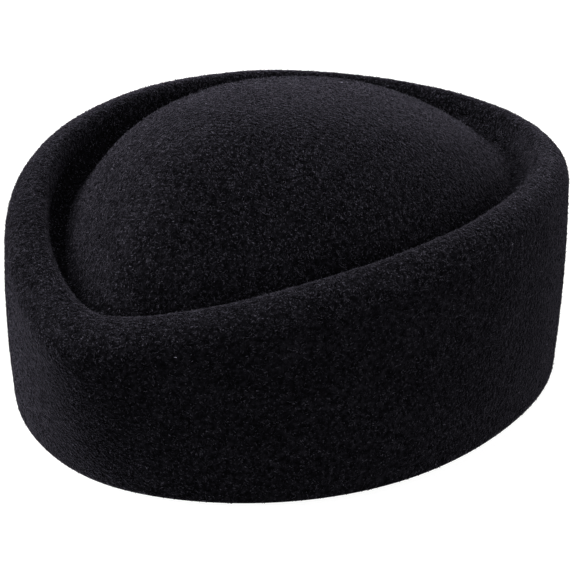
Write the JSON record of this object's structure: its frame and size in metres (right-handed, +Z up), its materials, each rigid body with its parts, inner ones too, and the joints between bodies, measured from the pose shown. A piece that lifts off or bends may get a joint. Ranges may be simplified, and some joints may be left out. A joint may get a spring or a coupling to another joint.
{
  "type": "pillbox hat",
  "caption": "One-piece blocked felt pillbox hat: upright wall with a softly pointed front, rolled edge, groove and a rounded dome, open underneath.",
  "frame": {"origin": "on the surface that the base edge rests on, under the middle of the hat's whole length and width", "axes": "+Z up through the dome, -Y to the pointed front of the hat, +X to its right as seen from the front"},
  "size_m": [0.1814, 0.2232, 0.1015],
  "materials": {
    "wool_felt": "black wool felt with a short mottled nap, matt with a soft bluish sheen"
  },
  "bodies": {
    "root": {"felt_body": "wool_felt"}
  },
  "joints": []
}
